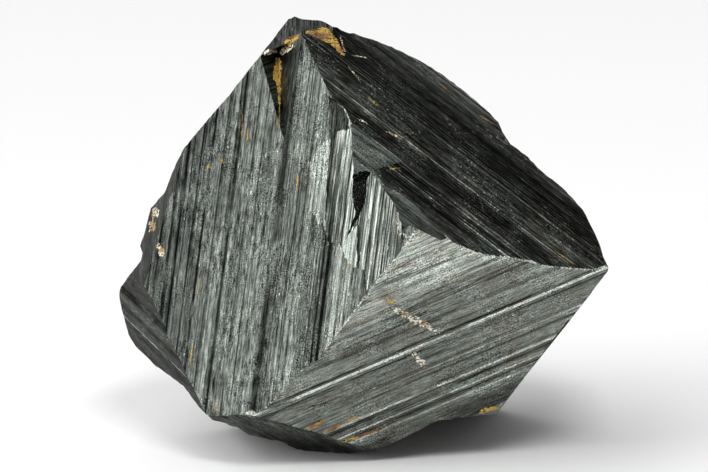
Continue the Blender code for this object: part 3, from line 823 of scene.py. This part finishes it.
def finishes():
    """Every finish that the crystal's faces take, by name."""
    left = (-CUBE_AXES[2], LEFT_FACE[1])
    lower = (-CUBE_AXES[0], LOWER_FACE[1])
    upper = (-CUBE_AXES[1], UPPER_FACE[1])
    made = {"pit": pit_finish("pitted hollow"), "break": break_finish("broken surface")}
    # Each face's brightness scales the one magnetite colour and partly paints how it is lit: the upper face
    # painted dark as shade, the lower face painted brighter
    for key, name, striae, looks in (
        ("left", "left face", left, dict(lines=LEFT_SHADING_LINES, frost=0.9, scaly=2.4)),
        ("lower", "lower face", lower, dict(lines=LOWER_SHADING_LINES, frost=0.75, contrast=0.72, tone_and_painted_light=1.28,
                                            film=1.0)),
        ("upper", "upper face", upper, dict(lines=UPPER_SHADING_LINES, frost=0.9, contrast=1.3, tone_and_painted_light=0.28, film=1.0,
                                            painted_specks=2.2)),
        ("panel", "inner panel", left, dict(lines=PANEL_SHADING_LINES, frost=0.2, contrast=1.5, tone_and_painted_light=1.5, fine=2.2)),
        # The flakes are painted bright: painted highlights on their fresh faces
        ("flake", "pale flake", left, dict(frost=0.9, contrast=0.6, tone_and_painted_light=2.1)),
        ("long_flake", "long flake", left, dict(frost=1.0, contrast=0.8, tone_and_painted_light=2.0)),
        ("short_flake", "white flake", left, dict(frost=0.15, contrast=0.3, tone_and_painted_light=3.1)),
        # Painted highlight along the shaved edges
        ("edge", "worn edge", left, dict(frost=0.9, contrast=0.6, tone_and_painted_light=3.2)),
        ("tread", "octahedral tread", upper, dict(frost=0.4, contrast=0.8, tone_and_painted_light=0.95)),
        # Painted shade: the notch walls are painted dark
        ("notch", "notch wall", left, dict(frost=0.3, contrast=1.7, tone_and_painted_light=0.45)),
        ("stair_top", "stair top", left, dict(frost=0.3, contrast=1.7, tone_and_painted_light=0.95)),
        # The cap is painted dark against the sheen it catches at a grazing view, partly its own duller film
        ("cap", "cap", (facing(0, 90), facing(90, 90)), dict(contrast=1.8, tone_and_painted_light=0.36, fine=1.3, film=1.0,
                                                             sheen=0.5)),
    ):
        made[key] = striated_finish(name, *striae, **looks)
    return made


def flank_finish(name, normal, along):
    """Duller striae of a side face, along its own direction, painted dark against the sheen it catches at a
    grazing view.
    """
    along = (along - normal * along.dot(normal)).normalized()
    return striated_finish(name.replace("_", " "), normal.cross(along), along, FLANK_SHADING_LINES.get(name, ()),
                           frost=0.35, contrast=1.3, tone_and_painted_light=0.34, rough=0.45, film=1.0, sheen=0.62)


def level_at(levels, across):
    """Height of a face's levels at a distance across its striae."""
    for (start, low), (end, high) in zip(levels, levels[1:]):
        if start <= across <= end:
            return low + (high - low) * (across - start) / (end - start)
    return levels[-1][1]


def edge_block(name, first, second, first_levels, second_levels, depth, seed, finish):
    """Shaves the ragged edge between two growth faces, following the level of both."""
    normal = (first + second).normalized()
    along = (first - second).normalized()
    if normal.cross(along).dot(facing(0, 0)) > 0:
        along = -along
    levels = []
    for step in range(*EDGE_STEPS):
        reach = EDGE_STEP * step
        heights = [level_at(each, max(reach * ACROSS_PER_EDGE, first_levels[0][0]))
                   for each in (first_levels, second_levels)]
        levels.append((reach, sum(heights) / (2 * math.cos(math.radians(30))) - depth))
    return face_block(name, normal, along, levels, seed, finish, rings=2)


def frayed(outline, size, seed, bite=0.8):
    """Breaks an outline into small teeth that run along the left face's striae."""
    dice = random.Random(SEED + seed)
    teeth = []
    for start, end in zip(outline, outline[1:] + outline[:1]):
        start, end = Vector(start), Vector(end)
        count = max(1, round((end - start).length / size))
        steep = abs(end.y - start.y) / max((end - start).length, 1e-9)
        for index in range(count):
            spot = start.lerp(end, index / count)
            if index:
                spot.x += dice.uniform(-TOOTH_WIDTH, TOOTH_WIDTH) * size * bite
                spot.y += dice.uniform(-1.0, 1.0) * size * bite * (1.1 - steep)
            teeth.append(tuple(spot))
    return teeth


def flats(table, spare=0.0):
    """Directions and distances of the flats in a table of azimuth, inclination and distance."""
    return [(facing(azimuth, inclination), far + spare) for azimuth, inclination, far in table.values()]


def grow_crystal():
    """The crystal from its faces inwards: blank, breaks, striated faces, hollows and flakes."""
    skin = finishes()
    plain = skin["break"]
    body = block("magnetite_crystal", flats(SIDE_FACES, SIDE_SPARE), plain)
    carve(body, break_sheet(plain), "DIFFERENCE")
    chip = [(-normal, -far) for normal, far in flats(CHIP_WALLS)]
    carve(body, block("chip", chip, plain), "DIFFERENCE")

    for name, face, levels, seed in (
        ("left", LEFT_FACE, LEFT_LEVELS, 1), ("lower", LOWER_FACE, LOWER_LEVELS, 2),
        ("upper", UPPER_FACE, UPPER_LEVELS, 3),
    ):
        carve(body, face_block(f"{name}_face", *face, levels, seed, skin[name]), "INTERSECT")
    for seed, (name, normal, along, levels, lift) in enumerate((
        ("left_flank", lattice(1, 0, -1), lattice(-1, 0, -1), LEFT_FLANK_LEVELS, 0),
        ("lower_left_flank", facing(200, 75), facing(-42, 30), PLAIN_LEVELS, 15.3),
        ("foot_face", facing(261, 75.6), lattice(1, 1, 0), PLAIN_LEVELS, 13.32),
        ("lower_right_flank", lattice(-1, 0, 1), lattice(1, 0, 1), PLAIN_LEVELS, 15.26),
        ("right_flank", lattice(0, -1, 1), lattice(0, -1, -1), PLAIN_LEVELS, 15.38),
        ("back_right_face", lattice(-1, -1, 0), lattice(1, -1, 0), PLAIN_LEVELS, FACE_TO_FACE),
        ("back_upper_face", lattice(0, -1, -1), lattice(0, 1, -1), PLAIN_LEVELS, FACE_TO_FACE),
        ("back_lower_face", lattice(-1, 0, -1), lattice(-1, 0, 1), PLAIN_LEVELS, FACE_TO_FACE),
    ), 4):
        finish = flank_finish(name, normal, along)
        carve(body, face_block(name, normal, along, levels, seed, finish, lift, FLANK_RINGS), "INTERSECT")
    wall = frayed([seen(*spot) for spot in OUTER_WALL], WALL_FRAY, 41, WALL_BITE)
    carve(body, view_prism("outer_wall", wall, plain), "INTERSECT")
    for name, first, second, first_levels, second_levels, depth, seed in (
        ("lower_left_edge", LEFT_FACE[0], LOWER_FACE[0], LEFT_LEVELS, LOWER_LEVELS, 0.02, 21),
        ("right_edge", LOWER_FACE[0], UPPER_FACE[0], LOWER_LEVELS, UPPER_LEVELS, 0.04, 22),
    ):
        # The shaved strip takes the edge finish, painted bright as a highlight
        shave = edge_block(name, first, second, first_levels, second_levels, depth, seed, skin["edge"])
        carve(body, shave, "INTERSECT")
    rim = [plane_through(*pair, back, (-1, 0, 1)) for pair, back in zip(zip(RIM, RIM[1:]), RIM_BACK)]
    carve(body, block("rim", rim, flank_finish("rim", facing(165, 75), facing(-115, 60))), "INTERSECT")

    roof = block("cap_roof", flats(CAP_ROOF), skin["cap"])
    hollow = view_prism("cap", CAP_OUTLINE, plain)
    carve(hollow, roof, "DIFFERENCE")
    carve(body, hollow, "DIFFERENCE")
    notch = [
        plane_through(NOTCH_TOP_LEFT, NOTCH_FOOT, NOTCH_BED, (-1, 0, -0.3)),
        plane_through(NOTCH_TIP, NOTCH_FOOT, NOTCH_BED, (1, 0, -0.3)),
        plane_through(NOTCH_TOP_LEFT, NOTCH_TIP, (NOTCH_TIP[0], NOTCH_TIP[1], 0), (0, 1, 0)),
    ]
    carve(body, block("notch", notch, skin["notch"]), "DIFFERENCE")
    hollows = []
    for name, outline, seed, sink in (
        ("inner_stair", frayed(INNER_STAIR, FRAY, 31), 12, INNER_STAIR_SINK),
        ("lower_stair", frayed(LOWER_STAIR, FRAY, 32), 13, LOWER_STAIR_SINK),
    ):
        floor = face_block(f"{name}_floor", *LEFT_FACE, PANEL_LEVELS, seed, skin["panel"], -sink, swell=1.0)
        hollows.append((name, outline, floor))
    for name, outline, depth, finish in (
        ("upper_tread", UPPER_TREAD, UPPER_TREAD_DEPTH, "tread"),
        ("lower_tread", LOWER_TREAD, LOWER_TREAD_DEPTH, "tread"),
        ("stair_top", frayed(STAIR_TOP, FRAY, 34), STAIR_TOP_DEPTH, "stair_top"),
        ("hollow", frayed(HOLLOW, HOLLOW_FRAY, 33), HOLLOW_DEPTH, "pit"),
    ):
        hollows.append((name, outline, block(f"{name}_floor", [(facing(0, 0), -depth)], skin[finish])))
    for name, outline, floor in hollows:
        # The hollows' walls take the upper face's finish, painted dark as shade
        hollow = view_prism(name, outline, skin["upper"])
        carve(hollow, floor, "DIFFERENCE")
        carve(body, hollow, "DIFFERENCE")
    for name, outline, sink, seed in (("long_flake", LONG_FLAKE, LONG_FLAKE_SINK, 14),
                                      ("short_flake", SHORT_FLAKE, SHORT_FLAKE_SINK, 15),
                                      ("sliver", SLIVER, SLIVER_SINK, 16)):
        plate = view_prism(name, frayed(outline, FLAKE_FRAY, seed), skin["flake"], FLAKE_ROOT)
        finish = skin.get(name, skin["flake"])
        carve(plate, face_block(f"{name}_top", *LEFT_FACE, FLAKE_LEVELS, seed, finish, -sink), "INTERSECT")
        carve(body, plate, "UNION")
    down = Matrix.Rotation(math.radians(LEAN), 3, "X") @ Vector((0, 0, -1))
    carve(body, block("ground", [(-down, -BREAK_DROP)], plain), "DIFFERENCE")
    body.data.transform(STANCE)
    body.data.polygons.foreach_set("use_smooth", [True] * len(body.data.polygons))
    body.data.set_sharp_from_angle(angle=math.radians(SHARP_ANGLE))
    return body


class CRYSTAL_OT_grow(bpy.types.Operator):
    """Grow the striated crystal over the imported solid"""

    bl_idname = "crystal.grow"
    bl_label = "Grow crystal"

    def execute(self, context):
        body = grow_crystal()
        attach(body, "root")
        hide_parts("crystal")
        return {"FINISHED"}


# Crust and crumbs

def lump_tree():
    """Puts a knobbly lump on every point, sized and turned by the point's attributes."""
    n = Growth("crust lumps", (
        ("Points", "Geometry", None), ("Roundness", "Int", 2), ("Knob height", "Float", 0.0),
        ("Knobs per metre", "Float", KNOBS_PER_METRE), ("Finish", "Material", None),
    ))
    ball = n.add("GeometryNodeMeshIcoSphere", {"Radius": 1.0, "Subdivisions": n.given["Roundness"]})
    turn, size = (n.add("GeometryNodeInputNamedAttribute", {"Name": name}, data_type="FLOAT_VECTOR")
                  .outputs["Attribute"] for name in ("turn", "size"))
    spread = n.add("GeometryNodeInstanceOnPoints", {
        "Points": n.given["Points"], "Instance": ball.outputs["Mesh"], "Rotation": turn, "Scale": size})
    lumps = n.add("GeometryNodeRealizeInstances", {"Geometry": spread.outputs[0]}).outputs[0]
    spot = n.add("GeometryNodeInputPosition").outputs[0]
    field = n.add("ShaderNodeTexNoise", {"Vector": spot, "Scale": n.given["Knobs per metre"]}).outputs["Fac"]
    rise = n.math("MULTIPLY", n.centred(field), n.given["Knob height"])
    outward = n.add("GeometryNodeInputNormal").outputs[0]
    push = n.add("ShaderNodeVectorMath", {0: outward, "Scale": rise}, operation="SCALE").outputs[0]
    return n.done(n.add("GeometryNodeSetPosition", {"Geometry": lumps, "Offset": push}).outputs[0])


def inside(spot, outline):
    """Whether a spot lies in an outline."""
    hit = False
    for (x0, y0), (x1, y1) in zip(outline, outline[1:] + outline[:1]):
        if (y0 > spot[1]) != (y1 > spot[1]) and spot[0] < (x1 - x0) * (spot[1] - y0) / (y1 - y0) + x0:
            hit = not hit
    return hit


def field_spots(outline, spacing, dice):
    """Jittered spots that fill an outline, in pixels."""
    lows, highs = ([pick(spot[axis] for spot in outline) for axis in range(2)] for pick in (min, max))
    spots = []
    y = lows[1]
    while y < highs[1]:
        x = lows[0]
        while x < highs[0]:
            spot = tuple(value + dice.uniform(-FIELD_JITTER, FIELD_JITTER) * spacing for value in (x, y))
            if inside(spot, outline):
                spots.append(spot)
            x += spacing
        y += spacing
    return spots


def lumps_on(body, name, marks, finish, knobs, roundness=2):
    """Lumps laid on the crystal where the camera sees them.

    A mark is x, y, lean in degrees, length, width and height, in the photograph's pixels.
    """
    skin = BVHTree.FromObject(body, bpy.context.evaluated_depsgraph_get())
    points = []
    turns = []
    sizes = []
    for x, y, lean, *size in marks:
        through = STANCE @ place(*seen(x, y), -MIDDLE_DEPTH)
        spot, normal, _, _ = skin.ray_cast(eye(), (through - eye()).normalized())
        if spot is None:
            continue
        stroke = turned(facing(lean, 90))
        stroke = (stroke - normal * stroke.dot(normal)).normalized()
        points.append(spot)
        turns.append(axes_frame(stroke, normal.cross(stroke), normal).to_euler())
        sizes.append([value * PIXEL * MM for value in size])
    mesh = bpy.data.meshes.new(name)
    mesh.from_pydata(points, [], [])
    for label, values in (("turn", turns), ("size", sizes)):
        stored = mesh.attributes.new(label, "FLOAT_VECTOR", "POINT")
        stored.data.foreach_set("vector", [number for value in values for number in value])
    seeds = add_object(name, mesh)
    modifier = seeds.modifiers.new("lumps", "NODES")
    modifier.node_group = bpy.data.node_groups.get("crust lumps") or lump_tree()
    set_inputs(modifier, {"Roundness": roundness, "Knob height": knobs * MM,
                          "Knobs per metre": KNOBS_PER_METRE, "Finish": finish})
    finished = evaluated_mesh(seeds)
    seeds.modifiers.clear()
    seeds.data = finished
    bpy.data.meshes.remove(mesh)
    finished.polygons.foreach_set("use_smooth", [True] * len(finished.polygons))
    return seeds


def streak_marks(streaks, dice, stretch, height):
    """Marks along streaks, each leaning the way its streak runs."""
    marks = []
    for x0, y0, x1, y1, width in streaks:
        length = math.hypot(x1 - x0, y1 - y0)
        lean = math.degrees(math.atan2(y0 - y1, x1 - x0))
        largest = min(width, LARGEST_LUMP)
        count = max(3, round(length / (0.45 * largest) + length * width / 9))
        for index in range(count):
            share = (index + dice.uniform(0.1, 0.9)) / count
            size = largest * dice.uniform(*STREAK_LUMPS) * (1 - 0.5 * abs(2 * share - 1))
            marks.append((x0 + share * (x1 - x0) + dice.uniform(-STREAK_SPREAD, STREAK_SPREAD) * width,
                          y0 + share * (y1 - y0) + dice.uniform(-STREAK_SPREAD, STREAK_SPREAD) * width,
                          lean + dice.uniform(-STREAK_SWING, STREAK_SWING),
                          size * stretch, size, size * height))
    return marks


def field_marks(outlines, dice):
    """Marks that fill outlines, leaning any way."""
    marks = []
    for outline in outlines:
        for x, y in field_spots(outline, FIELD_SPACING, dice):
            size = dice.uniform(*FIELD_LUMPS)
            marks.append((x, y, dice.uniform(0, 180), size * 1.2, size, size * 0.45))
    return marks


class CRYSTAL_OT_crust(bpy.types.Operator):
    """Lay the ochre crust and streaks on the crystal"""

    bl_idname = "crystal.crust"
    bl_label = "Lay crust"

    def execute(self, context):
        body = context.scene.objects["magnetite_crystal"]
        dice = random.Random(SEED + 51)
        marks = streak_marks(LIMONITE_STREAKS, dice, 1.9, 0.45) + field_marks(LIMONITE_FIELDS, dice)
        crust = lumps_on(body, "limonite_crust", marks, limonite_finish("limonite"), 0.06)
        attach(crust, "root")
        return {"FINISHED"}


class CRYSTAL_OT_crumbs(bpy.types.Operator):
    """Scatter the pale crumbs and cleaved grains"""

    bl_idname = "crystal.crumbs"
    bl_label = "Scatter crumbs"

    def execute(self, context):
        body = context.scene.objects["magnetite_crystal"]
        dice = random.Random(SEED + 52)
        marks = streak_marks(PALE_STREAKS, dice, 1.4, 0.5) + field_marks(PALE_FIELDS, dice)
        crumbs = lumps_on(body, "pale_crumbs", marks, crumb_finish("pale crumbs"), 0.05, 1)
        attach(crumbs, "root")
        return {"FINISHED"}


# Studio

def make_camera():
    """Long lens along the three-fold axis, with the front corner where the photograph has it."""
    data = bpy.data.cameras.new("camera")
    data.sensor_width = SENSOR
    data.lens = SENSOR * (CAMERA_DISTANCE + MIDDLE_DEPTH) / (PICTURE[0] * PIXEL)
    data.clip_end = SIGHT
    camera = add_object("camera", data)
    camera.location = eye()
    camera.rotation_euler = (math.radians(90 - LEAN), 0, 0)
    bpy.context.scene.camera = camera


def area_light(name, spot, target, size, power):
    data = bpy.data.lights.new(name, "AREA")
    data.size = size
    data.energy = power
    lamp = add_object(name, data)
    lamp.location = spot
    lamp.rotation_euler = (target - spot).to_track_quat("-Z", "Y").to_euler()


def make_world():
    """Pale surroundings with a dark patch overhead on the right and a grey one behind the camera."""
    world = bpy.data.worlds.new("studio")
    bpy.context.scene.world = world
    world.use_nodes = True
    n = Wiring(world.node_tree)
    way = n.add("ShaderNodeTexCoord").outputs["Generated"]
    light = 1.0
    for direction, inner, outer, keep in DARK_PATCHES:
        far, near = (math.cos(math.radians(angle)) for angle in (outer, inner))
        toward = n.dot(way, Vector(direction).normalized())
        light = n.math("MULTIPLY", light, n.ramp(toward, far, near, 1.0, keep))
    sky = n.tree.nodes["Background"]
    n.feed(sky.inputs["Strength"], light)
    n.feed(sky.inputs["Color"], colour([SURROUNDINGS] * 3))


def make_floor():
    shape = bmesh.new()
    bmesh.ops.create_grid(shape, x_segments=1, y_segments=1, size=FLOOR_REACH)
    pale = Finish("pale floor").done({"Base Color": colour([FLOOR_TONE] * 3), "Roughness": 0.9})
    floor = shaped_mesh("floor", shape, pale)


class CRYSTAL_OT_stage(bpy.types.Operator):
    """Set up the floor, the lights and the camera"""

    bl_idname = "crystal.stage"
    bl_label = "Set up studio"

    def execute(self, context):
        context.scene.view_settings.view_transform = "Standard"
        make_floor()
        make_world()
        middle = (CAD_LOW + CAD_HIGH) / 2
        for name, (spot, aim, side, power) in LIGHTS.items():
            area_light(name, middle + Vector(spot), middle + Vector(aim), side, power)
        make_camera()
        return {"FINISHED"}


class CRYSTAL_PT_panel(bpy.types.Panel):
    """Sidebar panel of the crystal's makers."""

    bl_label = "Magnetite crystal"
    bl_space_type = "VIEW_3D"
    bl_region_type = "UI"
    bl_category = "Crystal"

    def draw(self, context):
        for group in (context.scene.crystal_sizes, context.scene.crystal_colours):
            for name in group.bl_rna.properties.keys():
                if name not in ("rna_type", "name"):
                    self.layout.prop(group, name)
        for maker in OPERATORS:
            self.layout.operator(maker.bl_idname)


OPERATORS = (CRYSTAL_OT_grow, CRYSTAL_OT_crust, CRYSTAL_OT_crumbs, CRYSTAL_OT_stage)
CLASSES = (CrystalSizes, CrystalColours, *OPERATORS, CRYSTAL_PT_panel)


def register():
    for item in CLASSES:
        bpy.utils.register_class(item)
    bpy.types.Scene.crystal_sizes = PointerProperty(type=CrystalSizes)
    bpy.types.Scene.crystal_colours = PointerProperty(type=CrystalColours)


def unregister():
    del bpy.types.Scene.crystal_colours
    del bpy.types.Scene.crystal_sizes
    for item in reversed(CLASSES):
        bpy.utils.unregister_class(item)


def main():
    register()
    bpy.ops.crystal.grow()
    bpy.ops.crystal.crust()
    bpy.ops.crystal.crumbs()
    bpy.ops.crystal.stage()
    bpy.context.view_layer.update()


if __name__ == "__main__":
    main()
